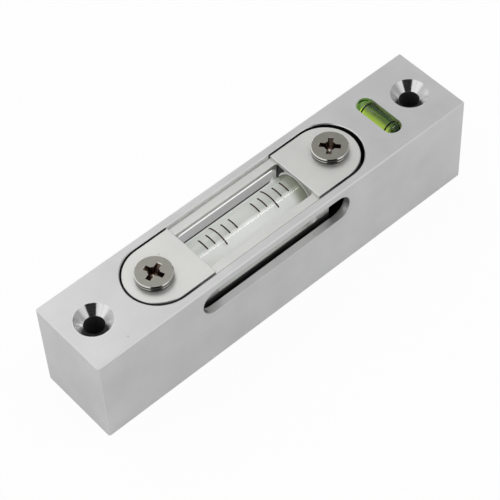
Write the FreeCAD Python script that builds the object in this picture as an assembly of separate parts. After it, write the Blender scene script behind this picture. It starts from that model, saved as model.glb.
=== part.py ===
import FreeCAD, Part

import math
import os

from FreeCAD import Vector

# A precision bar level: a milled aluminium block, an adjustable carrier with a
# ground glass vial sunk in its top, and a small green cross vial beside it.
# Millimetres. The origin is the middle of the base, X runs along the block
# towards the cross vial, and Z is up.

# Block
block_length = 100.0
block_width = 19.7
block_height = 24.1
block_edge_chamfer = 0.3
rim_chamfer = 0.2

# Holes that screw the block down to a machine
mount_hole_inset = 6.8
mount_hole_radius = 2.2
countersink_radius = 4.1
countersink_angle = 90.0
mount_hole_foot_chamfer = 0.4

# Carrier bar that holds the main vial
carrier_x = -4.0
carrier_width = 15.0
carrier_body_depth = 11.6
carrier_body_relief = 0.4
vial_end_clearance = 0.3
bulkhead_thickness = 3.0
ear_length = 13.0
ear_thickness = 4.0
carrier_foot_radius = 2.0
carrier_rim_chamfer = 0.15
waist_drop = 0.9

# Top window and side windows of the carrier
window_width = 11.1
window_corner_radius = 0.5
side_window_top = 1.8
side_window_sill = 8.1
side_window_corner_radius = 2.0

# Pocket in the block round the carrier
pocket_near_gap = 0.4
pocket_far_gap = 1.0
pocket_side_gap = 0.5
pocket_foot_clearance = 2.6

# Slots through the block's long sides
slot_overrun = 3.0
slot_offset = 0.5
slot_top = 2.0
slot_height = 6.8
slot_rim_chamfer = 0.15

# Main vial
vial_radius = 4.9
vial_wall = 1.1
vial_length = 33.4
vial_axis_depth = 5.85
vial_end_radius = 0.3
vial_plug_thickness = 1.4
plaster_gap = 0.3
plaster_recess = 0.3

# Enamel graduations over the top of the main vial
graduation_pitch = 2.0
graduation_offset = 3.0
graduations_a_side = 5
graduation_long_index = 2
graduation_width = 0.22
graduation_depth = 0.05
graduation_short_angle = 37.0
graduation_long_angle = 74.0

# Bubble of the main vial, stored against the far plug
bubble_length = 11.0
bubble_nose_radius = 3.2
bubble_thickness = 2.4
bubble_film = 0.05
bubble_skin = 0.03
bubble_end_gap = 0.3

# Screws and washers over the two ears
near_screw_inset = 6.3
far_screw_inset = 6.0
screw_radius = 2.0
screw_length = 20.0
screw_tip_chamfer = 0.5
screw_head_radius = 4.05
screw_head_height = 0.8
screw_head_chamfer = 0.2
screw_hole_clearance = 0.25
thread_clearance = 0.05
tapped_hole_extra = 1.6
drill_point_angle = 118.0
washer_thickness = 0.67
washer_bore_clearance = 0.12
washer_chamfer = 0.12
seat_clearance = 0.04

# Cross recess in the screw heads
recess_span = 4.7
recess_foot_span = 1.9
recess_wing = 1.15
recess_foot_wing = 0.7
recess_core_radius = 1.25
recess_foot_radius = 0.6
recess_depth = 1.7
pivot_screw_turn = 19.5
adjusting_screw_turn = 40.0

# Pillar under the near ear, spring under the far ear
pillar_radius = 3.4
pillar_bore_clearance = 0.2
pillar_crown_radius = 24.0
spring_wire_radius = 0.4
spring_bore_clearance = 0.35
spring_turns = 6.0
spring_steps = 16

# Cross vial and its recess, part of the way from the pocket to the far countersink
cross_place_ratio = 0.587
cross_radius = 2.05
cross_length = 11.9
cross_wall = 0.6
cross_rise = 0.4
cross_fit = 0.06
cross_cap_length = 1.35
cross_spigot_length = 0.4
cross_spigot_clearance = 0.02
ring_inset = 2.45
ring_width = 0.28
ring_depth = 0.06

# Bubble of the cross vial, stored against the cap
cross_bubble_length = 3.5
cross_bubble_end_gap = 0.25
cross_bubble_nose_radius = 1.15
cross_bubble_thickness = 1.3
cross_bubble_film = 0.04
cross_bubble_skin = 0.02

# Places that follow from the sizes above
carrier_body_length = vial_length + 2 * vial_end_clearance
window_length = carrier_body_length - 2 * bulkhead_thickness
carrier_length = carrier_body_length + 2 * ear_length
near_screw_x = carrier_x - carrier_length / 2 + near_screw_inset
far_screw_x = carrier_x + carrier_length / 2 - far_screw_inset
pocket_end = carrier_x + carrier_length / 2 + pocket_far_gap
slot_length = carrier_body_length + 2 * slot_overrun
slot_x = carrier_x + slot_offset
mount_hole_x = block_length / 2 - mount_hole_inset
cross_x = pocket_end + cross_place_ratio * (mount_hole_x - countersink_radius - pocket_end)
top = block_height
ear_foot = top - ear_thickness
carrier_foot = top - carrier_body_depth
pocket_floor = carrier_foot - pocket_foot_clearance
vial_axis = top - vial_axis_depth
vial_bore = vial_radius - vial_wall
sill = top - side_window_sill
cross_axis = top + cross_rise - cross_radius
cross_bore = cross_radius - cross_wall
cross_joint = cross_length / 2 - cross_cap_length
cross_inner = cross_joint - cross_spigot_length
X_AXIS = Vector(1, 0, 0)
Y_AXIS = Vector(0, 1, 0)
Z_AXIS = Vector(0, 0, 1)
REACH = 1.0
TINY = 1e-4


def box(x_size, y_size, z_low, z_high, x=0.0, y=0.0):
    """Box centred on x and y between two heights."""
    corner = Vector(x - x_size / 2, y - y_size / 2, z_low)
    return Part.makeBox(x_size, y_size, z_high - z_low, corner)


def stadium(length, width, z_low, z_high, x=0.0):
    """Bar with full round ends, its length along X."""
    r = width / 2
    h = length / 2 - r
    edges = [
        Part.LineSegment(Vector(-h, -r, 0), Vector(h, -r, 0)),
        Part.Arc(Vector(h, -r, 0), Vector(h + r, 0, 0), Vector(h, r, 0)),
        Part.LineSegment(Vector(h, r, 0), Vector(-h, r, 0)),
        Part.Arc(Vector(-h, r, 0), Vector(-h - r, 0, 0), Vector(-h, -r, 0)),
    ]
    face = Part.Face(Part.Wire([edge.toShape() for edge in edges]))
    bar = face.extrude(Vector(0, 0, z_high - z_low))
    bar.translate(Vector(x, 0, z_low))
    return bar


def rod(radius, z_low, z_high, x=0.0, y=0.0):
    """Upright cylinder between two heights."""
    return Part.makeCylinder(radius, z_high - z_low, Vector(x, y, z_low), Z_AXIS)


def lying_rod(radius, start, length, axis):
    """Cylinder that starts at a point and runs along an axis."""
    return Part.makeCylinder(radius, length, start, axis)


def turned(profile, x):
    """Solid of revolution about the upright axis at x, from (radius, height) points."""
    points = [Vector(x + r, 0, z) for r, z in profile]
    face = Part.Face(Part.makePolygon(points + points[:1]))
    return face.revolve(Vector(x, 0, 0), Z_AXIS, 360)


def pick_edges(shape, test):
    """Edges whose bounding box passes a test."""
    return [edge for edge in shape.Edges if test(edge.BoundBox)]


def upright_edges(shape):
    return pick_edges(shape, lambda b: max(b.XLength, b.YLength) < TINY)


def flat_at(bound, height):
    """True for an edge that lies level at a height."""
    return abs(bound.ZMin - height) < TINY and abs(bound.ZMax - height) < TINY


def within(bound, x_mid, length):
    """True for an edge inside a stretch of the block, give or take a hair."""
    half = length / 2 + TINY
    return bound.XMin > x_mid - half and bound.XMax < x_mid + half


def side_cut(length, height, radius, x, z_mid):
    """Rounded slot cutter that runs through the whole width of the block."""
    if radius < height / 2 - TINY:
        cutter = box(length, height, -block_width, block_width)
        cutter = cutter.makeFillet(radius, upright_edges(cutter))
    else:
        cutter = stadium(length, height, -block_width, block_width)
    cutter.rotate(Vector(0, 0, 0), X_AXIS, 90)
    cutter.translate(Vector(x, 0, z_mid))
    return cutter


def mounting_hole(x):
    """Countersunk through hole, with a small chamfer at the foot."""
    slope = math.tan(math.radians(countersink_angle / 2))
    sink = (countersink_radius - mount_hole_radius) / slope
    over = REACH * slope
    foot = mount_hole_foot_chamfer
    profile = [
        (0, -REACH),
        (mount_hole_radius + foot + REACH, -REACH),
        (mount_hole_radius, foot),
        (mount_hole_radius, top - sink),
        (countersink_radius + over, top + REACH),
        (0, top + REACH),
    ]
    return turned(profile, x)


def tapped_hole(x):
    """Blind hole in the pocket floor with a drill point."""
    radius = screw_radius + thread_clearance
    foot = screw_tip_height() - tapped_hole_extra
    point = radius / math.tan(math.radians(drill_point_angle / 2))
    profile = [
        (0, foot - point),
        (radius, foot),
        (radius, pocket_floor + REACH),
        (0, pocket_floor + REACH),
    ]
    return turned(profile, x)


def screw_tip_height():
    return top + seat_clearance + washer_thickness - screw_length


def capsule(radius, length, y_mid, z_mid, x):
    """Bar with ball ends, its length along Y."""
    straight = length - 2 * radius
    start = Vector(x, y_mid - straight / 2, z_mid)
    body = lying_rod(radius, start, straight, Y_AXIS)
    for side in (-1, 1):
        body = body.fuse(Part.makeSphere(radius, Vector(x, y_mid + side * straight / 2, z_mid)))
    return body.removeSplitter()


def cross_recess():
    """Ball-nose milled recess that the cross vial is pressed into."""
    radius = cross_radius + cross_fit
    length = cross_length + 2 * cross_fit
    cradle = capsule(radius, length, 0, cross_axis, cross_x)
    mouth = stadium(length, 2 * radius, cross_axis, top + REACH)
    mouth.rotate(Vector(0, 0, 0), Z_AXIS, 90)
    mouth.translate(Vector(cross_x, 0, 0))
    return cradle.fuse(mouth).removeSplitter()


def chamfer_pocket_rim(block, pocket_x, pocket_length):
    def on_rim(b):
        return flat_at(b, top) and within(b, pocket_x, pocket_length)
    return block.makeChamfer(rim_chamfer, pick_edges(block, on_rim))


def chamfer_slot_rims(block):
    def on_rim(b):
        outer = abs(abs(b.YMin) - block_width / 2) < TINY and b.YLength < TINY
        return outer and within(b, slot_x, slot_length)
    return block.makeChamfer(slot_rim_chamfer, pick_edges(block, on_rim))


def make_block():
    block = box(block_length, block_width, 0, top)
    block = block.makeChamfer(block_edge_chamfer, block.Edges)
    pocket_length = carrier_length + pocket_near_gap + pocket_far_gap
    pocket_width = carrier_width + 2 * pocket_side_gap
    pocket_x = carrier_x + (pocket_far_gap - pocket_near_gap) / 2
    block = block.cut(stadium(pocket_length, pocket_width, pocket_floor, top + REACH, pocket_x))
    block = chamfer_pocket_rim(block, pocket_x, pocket_length)
    slot_mid = top - slot_top - slot_height / 2
    block = block.cut(side_cut(slot_length, slot_height, slot_height / 2, slot_x, slot_mid))
    block = chamfer_slot_rims(block)
    for side in (-1, 1):
        block = block.cut(mounting_hole(side * mount_hole_x))
    for x in (near_screw_x, far_screw_x):
        block = block.cut(tapped_hole(x))
    return block.cut(cross_recess())


def vial_channel(length):
    """Round-topped trough, open at the foot, that the vial is laid into from below."""
    radius = vial_radius + plaster_gap
    start = Vector(carrier_x - length / 2, 0, vial_axis)
    crown = lying_rod(radius, start, length, X_AXIS)
    legs = box(length, 2 * radius, carrier_foot - REACH, vial_axis, carrier_x)
    return crown.fuse(legs).removeSplitter()


def window_cut():
    """Top window, milled right through between the two ends."""
    cutter = box(window_length, window_width, carrier_foot - REACH, top + REACH, carrier_x)
    return cutter.makeFillet(window_corner_radius, upright_edges(cutter))


def make_carrier():
    ears = stadium(carrier_length, carrier_width, ear_foot, top, carrier_x)
    body_width = carrier_width - 2 * carrier_body_relief
    body = box(carrier_body_length, body_width, carrier_foot, ear_foot + REACH, carrier_x)
    foot = pick_edges(body, lambda b: flat_at(b, carrier_foot) and b.YLength < TINY)
    body = body.makeFillet(carrier_foot_radius, foot)
    carrier = ears.fuse(body).removeSplitter()
    waist = box(window_length, carrier_width + REACH, top - waist_drop, top + REACH, carrier_x)
    carrier = carrier.cut(waist)
    pad_rims = pick_edges(carrier, lambda b: flat_at(b, top))
    carrier = carrier.makeChamfer(carrier_rim_chamfer, pad_rims)
    carrier = carrier.cut(window_cut())
    carrier = carrier.cut(vial_channel(carrier_body_length))
    height = side_window_sill - side_window_top
    mid = top - (side_window_sill + side_window_top) / 2
    carrier = carrier.cut(side_cut(window_length, height, side_window_corner_radius, carrier_x, mid))
    hole_radius = screw_radius + screw_hole_clearance
    for x in (near_screw_x, far_screw_x):
        carrier = carrier.cut(rod(hole_radius, ear_foot - REACH, top + REACH, x))
    return carrier


def vial_bar(radius, length):
    start = Vector(carrier_x - length / 2, 0, vial_axis)
    return lying_rod(radius, start, length, X_AXIS)


def graduation(x, sweep):
    """One curved line of enamel on the top of the glass."""
    low = vial_axis + vial_radius
    corners = [
        Vector(x - graduation_width / 2, 0, low),
        Vector(x + graduation_width / 2, 0, low),
        Vector(x + graduation_width / 2, 0, low + graduation_depth),
        Vector(x - graduation_width / 2, 0, low + graduation_depth),
    ]
    strip = Part.Face(Part.makePolygon(corners + corners[:1]))
    centre = Vector(x, 0, vial_axis)
    strip.rotate(centre, X_AXIS, -sweep / 2)
    return strip.revolve(centre, X_AXIS, sweep)


def make_graduations():
    lines = []
    for side in (-1, 1):
        for index in range(graduations_a_side):
            x = carrier_x + side * (graduation_offset + index * graduation_pitch)
            long_line = index == graduation_long_index
            lines.append(graduation(x, graduation_long_angle if long_line else graduation_short_angle))
    return lines


def make_vial_tube():
    tube = vial_bar(vial_radius, vial_length)
    tube = tube.makeFillet(vial_end_radius, pick_edges(tube, lambda b: b.XLength < TINY))
    return tube.cut(vial_bar(vial_bore, vial_length + 2 * REACH))


def make_plug(side):
    inner = vial_length / 2 - vial_plug_thickness
    start = Vector(carrier_x + side * inner, 0, vial_axis)
    return lying_rod(vial_bore, start, vial_plug_thickness, X_AXIS * side)


def long_bubble(length, nose, thickness, bore, mid, along, skin):
    """Air bubble about a point on the vial's axis, or the hollow round it with a skin.

    Its top follows the bore, and its foot is a long round-ended hollow.
    """
    lift = bore - thickness + nose
    half_nose = math.sqrt(nose ** 2 - (lift - bore) ** 2)
    straight = length - 2 * half_nose
    start = mid - along * (straight / 2) + Vector(0, 0, lift)
    scoop = lying_rod(nose + skin, start, straight, along)
    for end in (start, start + along * straight):
        scoop = scoop.fuse(Part.makeSphere(nose + skin, end))
    return scoop.common(lying_rod(bore + skin, mid - along * length, 2 * length, along))


def main_bubble(skin=0.0):
    inner = vial_length / 2 - vial_plug_thickness
    x = carrier_x + inner - bubble_end_gap - bubble_length / 2
    bore = vial_bore - bubble_film
    mid = Vector(x, 0, vial_axis)
    return long_bubble(bubble_length, bubble_nose_radius, bubble_thickness, bore, mid, X_AXIS, skin)


def make_spirit():
    length = vial_length - 2 * vial_plug_thickness
    return vial_bar(vial_bore, length).cut(main_bubble(bubble_skin))


def make_plaster_bed():
    """Plaster that sets the vial in the carrier: a collar at each end and a bed between."""
    foot = carrier_foot + plaster_recess
    trough = vial_channel(vial_length).common(box(vial_length, carrier_width, foot, top, carrier_x))
    collars = trough.cut(box(window_length, carrier_width, foot - REACH, top, carrier_x))
    bed = window_cut().common(box(window_length, window_width, foot, sill, carrier_x))
    plaster = collars.fuse(bed).removeSplitter()
    return plaster.cut(vial_bar(vial_radius, vial_length + REACH))


def recess_wing_cut(z_top, turn, x):
    """One tapered wing pair of the cross recess."""
    wires = []
    for span, wing, z in (
        (recess_span, recess_wing, z_top),
        (recess_foot_span, recess_foot_wing, z_top - recess_depth),
    ):
        corners = [
            Vector(sx * span / 2, sy * wing / 2, z)
            for sx, sy in ((-1, -1), (1, -1), (1, 1), (-1, 1))
        ]
        wires.append(Part.makePolygon(corners + corners[:1]))
    wing_cut = Part.makeLoft(wires, True, True)
    wing_cut.rotate(Vector(0, 0, 0), Z_AXIS, turn)
    wing_cut.translate(Vector(x, 0, 0))
    return wing_cut


def recess_core_cut(z_top, x):
    """Tapered middle of the cross recess, with a shallow point."""
    foot = z_top - recess_depth
    profile = [
        (0, foot - recess_foot_radius / 2),
        (recess_foot_radius, foot),
        (recess_core_radius, z_top),
        (0, z_top),
    ]
    return turned(profile, x)


def make_screw(x, turn):
    seat = top + seat_clearance + washer_thickness
    head_top = seat + screw_head_height
    tip = screw_tip_height()
    c = screw_head_chamfer
    profile = [
        (0, tip),
        (screw_radius - screw_tip_chamfer, tip),
        (screw_radius, tip + screw_tip_chamfer),
        (screw_radius, seat),
        (screw_head_radius - washer_chamfer, seat),
        (screw_head_radius, seat + washer_chamfer),
        (screw_head_radius, head_top - c),
        (screw_head_radius - c, head_top),
        (0, head_top),
    ]
    screw = turned(profile, x)
    for quarter in (0, 90):
        screw = screw.cut(recess_wing_cut(head_top, turn + quarter, x))
    return screw.cut(recess_core_cut(head_top, x))


def make_washer(x):
    low = top + seat_clearance
    high = low + washer_thickness
    bore = screw_radius + washer_bore_clearance
    c = washer_chamfer
    profile = [
        (bore, low),
        (screw_head_radius - c, low),
        (screw_head_radius, low + c),
        (screw_head_radius, high - c),
        (screw_head_radius - c, high),
        (bore, high),
    ]
    return turned(profile, x)


def make_pillar():
    """Turned pillar with a crowned top that the near ear rocks on."""
    bore = screw_radius + pillar_bore_clearance
    crest = ear_foot - seat_clearance
    shoulder = crest - (pillar_radius ** 2 - bore ** 2) / (2 * pillar_crown_radius)
    middle = (bore + pillar_radius) / 2
    rise = (middle - bore) * (pillar_radius - middle) / (2 * pillar_crown_radius)
    x = near_screw_x
    crown = [(bore, crest), (middle, (crest + shoulder) / 2 + rise), (pillar_radius, shoulder)]
    points = [Vector(x + r, 0, z) for r, z in crown]
    foot = [Vector(x + pillar_radius, 0, pocket_floor), Vector(x + bore, 0, pocket_floor)]
    edges = [
        Part.Arc(*points).toShape(),
        Part.makeLine(points[2], foot[0]),
        Part.makeLine(foot[0], foot[1]),
        Part.makeLine(foot[1], points[0]),
    ]
    return Part.Face(Part.Wire(edges)).revolve(Vector(x, 0, 0), Z_AXIS, 360)


def make_spring():
    """Open compression spring between the pocket floor and the far ear, on a six-sided wire."""
    coil_radius = screw_radius + spring_bore_clearance + spring_wire_radius
    height = ear_foot - pocket_floor - 2 * spring_wire_radius
    count = round(spring_turns * spring_steps)
    path = []
    for step in range(count + 1):
        angle = 2 * math.pi * step / spring_steps
        z = pocket_floor + spring_wire_radius + height * step / count
        path.append(Vector(coil_radius * math.cos(angle), coil_radius * math.sin(angle), z))
    corners = []
    for corner in range(6):
        angle = math.pi * corner / 3 + math.pi / 6
        out = coil_radius + spring_wire_radius * math.cos(angle)
        corners.append(Vector(out, 0, path[0].z + spring_wire_radius * math.sin(angle)))
    section = Part.Wire(Part.makePolygon(corners + corners[:1]))
    spring = Part.Wire(Part.makePolygon(path)).makePipeShell([section], True, False, 1)
    spring.translate(Vector(far_screw_x, 0, 0))
    return spring


def cross_rings():
    """Two printed lines round the cross vial, let into its wall."""
    rings = []
    for side in (-1, 1):
        y = side * (cross_length / 2 - ring_inset)
        start = Vector(cross_x, y - ring_width / 2, cross_axis)
        ring = lying_rod(cross_radius, start, ring_width, Y_AXIS)
        rings.append(ring.cut(lying_rod(cross_radius - ring_depth, start, ring_width, Y_AXIS)))
    return rings


def cross_bubble(skin=0.0):
    y = cross_inner - cross_bubble_end_gap - cross_bubble_length / 2
    mid = Vector(cross_x, y, cross_axis)
    bore = cross_bore - cross_bubble_film
    nose = cross_bubble_nose_radius
    return long_bubble(cross_bubble_length, nose, cross_bubble_thickness, bore, mid, Y_AXIS, skin)


def cross_half(from_y, to_y):
    """The stretch of the cross vial's outer form between two places along it."""
    body = capsule(cross_radius, cross_length, 0, cross_axis, cross_x)
    slab = Part.makeBox(
        4 * cross_radius, to_y - from_y, 4 * cross_radius,
        Vector(cross_x - 2 * cross_radius, from_y, cross_axis - 2 * cross_radius),
    )
    return body.common(slab)


def make_cross_shell(rings):
    shell = cross_half(-cross_length, cross_joint)
    start = Vector(cross_x, -cross_inner, cross_axis)
    bore = lying_rod(cross_bore, start, cross_inner + cross_joint + REACH, Y_AXIS)
    return shell.cut(bore).cut(Part.makeCompound(rings))


def make_cross_cap():
    cap = cross_half(cross_joint, cross_length)
    start = Vector(cross_x, cross_inner, cross_axis)
    length = cross_spigot_length + cross_cap_length / 2
    spigot = lying_rod(cross_bore - cross_spigot_clearance, start, length, Y_AXIS)
    return cap.fuse(spigot).removeSplitter()


def make_cross_spirit():
    start = Vector(cross_x, -cross_inner, cross_axis)
    bar = lying_rod(cross_bore, start, 2 * cross_inner, Y_AXIS)
    return bar.cut(cross_bubble(cross_bubble_skin))


def save(name, shape):
    solids = shape.Solids
    shape = solids[0] if len(solids) == 1 else Part.makeCompound(solids)
    if not shape.isValid():
        print("not valid:", name)
    shape.exportStep(os.path.join("parts", name + ".step"))
    print(name, len(solids), "solids", round(shape.Volume, 3), "mm3")


def main():
    os.makedirs("parts", exist_ok=True)
    rings = cross_rings()
    save("block", make_block())
    save("vial_carrier", make_carrier())
    save("vial_tube", make_vial_tube())
    save("vial_plug_near", make_plug(-1))
    save("vial_plug_far", make_plug(1))
    save("vial_spirit", make_spirit())
    save("vial_bubble", main_bubble())
    save("graduation_lines", Part.makeCompound(make_graduations()))
    save("plaster_bed", make_plaster_bed())
    save("pivot_screw", make_screw(near_screw_x, pivot_screw_turn))
    save("pivot_washer", make_washer(near_screw_x))
    save("pivot_pillar", make_pillar())
    save("adjusting_screw", make_screw(far_screw_x, adjusting_screw_turn))
    save("adjusting_washer", make_washer(far_screw_x))
    save("adjusting_spring", make_spring())
    save("cross_vial_shell", make_cross_shell(rings))
    save("cross_vial_cap", make_cross_cap())
    save("cross_vial_spirit", make_cross_spirit())
    save("cross_vial_bubble", cross_bubble())
    save("cross_vial_rings", Part.makeCompound(rings))


main()
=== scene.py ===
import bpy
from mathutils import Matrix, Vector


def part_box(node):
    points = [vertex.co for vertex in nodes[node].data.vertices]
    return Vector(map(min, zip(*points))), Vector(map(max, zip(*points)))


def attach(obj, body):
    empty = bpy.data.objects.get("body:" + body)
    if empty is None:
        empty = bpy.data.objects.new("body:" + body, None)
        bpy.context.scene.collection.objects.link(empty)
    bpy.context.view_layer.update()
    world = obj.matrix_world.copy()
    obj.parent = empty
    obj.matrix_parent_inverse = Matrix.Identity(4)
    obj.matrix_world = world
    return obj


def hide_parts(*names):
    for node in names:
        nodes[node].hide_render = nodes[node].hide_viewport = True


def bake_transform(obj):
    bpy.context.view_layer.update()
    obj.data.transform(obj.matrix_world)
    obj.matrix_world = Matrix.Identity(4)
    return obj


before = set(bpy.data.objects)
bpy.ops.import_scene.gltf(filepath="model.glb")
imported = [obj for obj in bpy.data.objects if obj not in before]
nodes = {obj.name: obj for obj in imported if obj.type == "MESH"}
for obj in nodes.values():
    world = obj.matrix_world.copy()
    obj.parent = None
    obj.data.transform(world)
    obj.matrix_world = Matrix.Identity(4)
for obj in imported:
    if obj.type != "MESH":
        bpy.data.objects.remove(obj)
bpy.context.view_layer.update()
print("nodes:", len(nodes))

# %% [markdown]
# # A small precision level
# The part is a milled aluminium bar with a ground glass vial in an adjustable
# carrier, and a small green cross vial beside it. The solids come from the CAD
# file. This lesson gives the metal pieces their finishes, and models again what
# CAD can only block out: the glass, the liquids, the air bubbles, the plaster
# and the enamel lines.

# %% Modules and units
import math

import bpy
from mathutils import Matrix, Vector

MM = 0.001


# %% [markdown]
# ## Camera
# A camera fitted to the block's corners gives the place, the turn and the lens.
# It could be aimed with a Track To constraint, but the photograph is rolled a
# little, so the turn is built from azimuth, elevation and roll.

# %% Camera
AZIMUTH, ELEVATION, ROLL = -39.07, 52.30, -3.32
LENS = 134.81


def camera_turn(azimuth, elevation, roll):
    a, e = math.radians(azimuth), math.radians(elevation)
    back = Vector((math.sin(a) * math.cos(e), -math.cos(a) * math.cos(e), math.sin(e)))
    across = Vector((0, 0, 1)).cross(back).normalized()
    up = back.cross(across)
    turn = Matrix((across, up, back)).transposed()
    return turn @ Matrix.Rotation(math.radians(roll), 3, "Z")


bpy.ops.object.camera_add(location=(-153.72 * MM, -185.78 * MM, 320.11 * MM))
camera = bpy.context.object
camera.name = "camera"
camera.rotation_euler = camera_turn(AZIMUTH, ELEVATION, ROLL).to_euler()
camera.data.lens = LENS
camera.data.sensor_width = 36.0
camera.data.clip_start = 0.01
camera.data.clip_end = 10.0
bpy.context.scene.camera = camera
print("camera:", tuple(round(v, 4) for v in camera.location))


# %% [markdown]
# ## Sizes
# The new pieces meet the CAD solids, so they take their sizes from the nodes'
# boxes where they can. What a box doesn't tell, such as the bore of a tube, is
# named here once.

# %% Sizes of the glass and what is in it
tube_low, tube_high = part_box("vial_tube")
TUBE_X = (tube_low.x + tube_high.x) / 2
TUBE_Z = (tube_low.z + tube_high.z) / 2
TUBE_R = (tube_high.z - tube_low.z) / 2
TUBE_LENGTH = tube_high.x - tube_low.x
TUBE_BORE = 3.8 * MM
PLUG = 1.4 * MM
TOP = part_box("block")[1].z
print("tube radius mm:", round(TUBE_R / MM, 3), "length mm:", round(TUBE_LENGTH / MM, 2))


# %% [markdown]
# ## Small helpers
# An operator acts on all that is selected, and the loaded nodes come in
# selected, so every step starts from an empty selection. A finished piece has
# its place in its mesh and its object at the origin, as the CAD nodes do.

# %% Helpers for selecting and finishing
def select_none():
    if bpy.context.mode != "OBJECT":
        bpy.ops.object.mode_set(mode="OBJECT")
    bpy.ops.object.select_all(action="DESELECT")


def select_only(piece):
    select_none()
    piece.select_set(True)
    bpy.context.view_layer.objects.active = piece


def settle(piece):
    """Moves the piece's place, turn and size into its mesh."""
    select_only(piece)
    bpy.ops.object.transform_apply(location=True, rotation=True, scale=True)


def pick_verts(piece, test):
    """Selects the vertices that pass a test, in edit mode."""
    select_only(piece)
    bpy.ops.object.mode_set(mode="EDIT")
    bpy.ops.mesh.select_mode(type="VERT")
    bpy.ops.mesh.select_all(action="DESELECT")
    bpy.ops.object.mode_set(mode="OBJECT")
    for vert in piece.data.vertices:
        vert.select = test(vert.co)
    bpy.ops.object.mode_set(mode="EDIT")


def pick_faces(piece, test):
    """Selects the faces whose centres pass a test, in edit mode."""
    select_only(piece)
    bpy.ops.object.mode_set(mode="EDIT")
    bpy.ops.mesh.select_mode(type="FACE")
    bpy.ops.mesh.select_all(action="DESELECT")
    bpy.ops.object.mode_set(mode="OBJECT")
    for face in piece.data.polygons:
        face.select = test(face.center)
    bpy.ops.object.mode_set(mode="EDIT")


def add_rims(piece, width, segments, angle=30):
    """Adds a bevel to all edges that are sharper than an angle."""
    rim = piece.modifiers.new("rim", "BEVEL")
    rim.width = width
    rim.segments = segments
    rim.limit_method = "ANGLE"
    rim.angle_limit = math.radians(angle)


def add_wall(piece, thickness, offset):
    """Adds a thickness: offset -1 is inwards and 1 outwards."""
    wall = piece.modifiers.new("wall", "SOLIDIFY")
    wall.thickness = thickness
    wall.offset = offset


def apply_all(piece):
    select_only(piece)
    for modifier in list(piece.modifiers):
        bpy.ops.object.modifier_apply(modifier=modifier.name)


def join_all(pieces):
    select_none()
    for piece in pieces:
        piece.select_set(True)
    bpy.context.view_layer.objects.active = pieces[0]
    bpy.ops.object.join()
    return bpy.context.object


def tidy_mesh(piece, angle=35):
    """Merges doubles, turns the faces outwards and smooths below an angle."""
    select_only(piece)
    bpy.ops.object.mode_set(mode="EDIT")
    bpy.ops.mesh.select_all(action="SELECT")
    bpy.ops.mesh.remove_doubles(threshold=1e-6)
    bpy.ops.mesh.normals_make_consistent(inside=False)
    bpy.ops.object.mode_set(mode="OBJECT")
    bpy.ops.object.shade_smooth_by_angle(angle=math.radians(angle))


def paint_faces(piece, index, test):
    """Gives the faces that pass a test another of the piece's materials."""
    for face in piece.data.polygons:
        if test(face.center, face.normal):
            face.material_index = index


def finish_piece(piece, name, body, slot, replaced, *materials):
    piece.name = name
    piece.data.name = name
    piece.data.materials.clear()
    for material in materials:
        piece.data.materials.append(material)
    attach(piece, body)
    if replaced:
        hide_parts(*replaced)
    print(name, "faces:", len(piece.data.polygons))


# %% [markdown]
# ## Shared effects
# Each effect that more than one finish uses is a node group with named sockets:
# a satin grain for blasted metal, marks of a turning tool round an upright axis,
# and masks for a box of the block and for its cut edges. A picture on a UV map
# could do the same, but patterns on Object coordinates need no unwrapping and
# stay sharp close up. A group gives out only masks and heights, and the shader
# stays in the material.

# %% Node helpers
def add_node(tree, kind, **values):
    node = tree.nodes.new(kind)
    for key, value in values.items():
        setattr(node, key, value)
    return node


def set_inputs(node, **values):
    for key, value in values.items():
        node.inputs[key.replace("_", " ")].default_value = value
    return node


def math_node(tree, operation, first, second=None):
    node = add_node(tree, "ShaderNodeMath", operation=operation)
    for socket, value in zip(node.inputs, (first, second)):
        if value is None:
            continue
        if isinstance(value, (int, float)):
            socket.default_value = value
        else:
            tree.links.new(value, socket)
    return node.outputs[0]


def new_group(name, inputs, outputs):
    tree = bpy.data.node_groups.new(name, "ShaderNodeTree")
    for label, kind, value in inputs:
        socket = tree.interface.new_socket(label, in_out="INPUT", socket_type=kind)
        socket.default_value = value
    for label, kind in outputs:
        tree.interface.new_socket(label, in_out="OUTPUT", socket_type=kind)
    entry = add_node(tree, "NodeGroupInput")
    leave = add_node(tree, "NodeGroupOutput")
    return tree, entry, leave


def place_group(tree, group, **values):
    node = add_node(tree, "ShaderNodeGroup")
    node.node_tree = group
    return set_inputs(node, **values)


def object_axes(tree):
    place = add_node(tree, "ShaderNodeTexCoord")
    split = add_node(tree, "ShaderNodeSeparateXYZ")
    tree.links.new(place.outputs["Object"], split.inputs[0])
    return split.outputs


def slope(tree, value, low, high):
    """0 at low and 1 at high, with soft ends."""
    ramp = add_node(tree, "ShaderNodeMapRange", interpolation_type="SMOOTHSTEP")
    set_inputs(ramp, From_Min=low, From_Max=high)
    tree.links.new(value, ramp.inputs["Value"])
    return ramp.outputs["Result"]


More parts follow.
